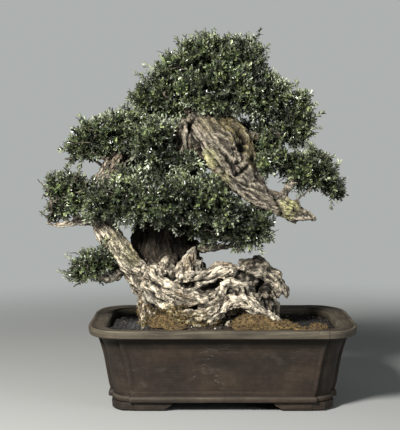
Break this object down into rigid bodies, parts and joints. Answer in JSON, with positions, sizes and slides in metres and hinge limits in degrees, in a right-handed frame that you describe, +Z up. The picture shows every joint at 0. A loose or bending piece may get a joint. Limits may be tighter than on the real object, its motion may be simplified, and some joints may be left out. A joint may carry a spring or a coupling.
{
  "type": "olive bonsai",
  "caption": "Old olive bonsai with a gnarled deadwood base, a hollow bent trunk and rounded leafy pads, in an unglazed rectangular pot with notched corners and low feet.",
  "frame": {"origin": "under the middle of the whole tree and pot, on the surface that the pot's feet stand on", "axes": "+X to the right seen from the front of the tree, +Y to its back, +Z up"},
  "size_m": [0.7282, 0.424, 0.863],
  "materials": {
    "pot_clay": "unglazed dark brown stoneware, satin, with a paler worn rim and fine scratches",
    "screen_plastic": "black plastic mesh",
    "net_plastic": "black plastic netting laid on the soil",
    "soil": "dark damp granular bonsai soil",
    "moss": "dry golden brown sphagnum-like moss, fibrous and matt",
    "wood": "old fissured olive bark and silver-cream deadwood, rough, with ochre and green lichen",
    "leaves": "small leathery olive leaves, dark green and glossy above, paler below"
  },
  "bodies": {
    "root": {"pot": "pot_clay", "drain_screen_left": "screen_plastic", "drain_screen_right": "screen_plastic", "soil": "soil", "moss_left": "moss", "moss_right": "moss", "moss_corner": "moss", "net_left": "net_plastic", "net_right": "net_plastic", "trunk": "wood", "leaves_crown": "leaves", "leaves_crown_back": "leaves", "leaves_upper_left": "leaves", "leaves_upper_left_back": "leaves", "leaves_far_left": "leaves", "leaves_lower_left": "leaves", "leaves_middle": "leaves", "leaves_middle_back": "leaves", "leaves_lower_right": "leaves", "leaves_lower_back": "leaves", "leaves_right": "leaves", "leaves_right_upper": "leaves", "leaves_right_back": "leaves"}
  },
  "joints": []
}
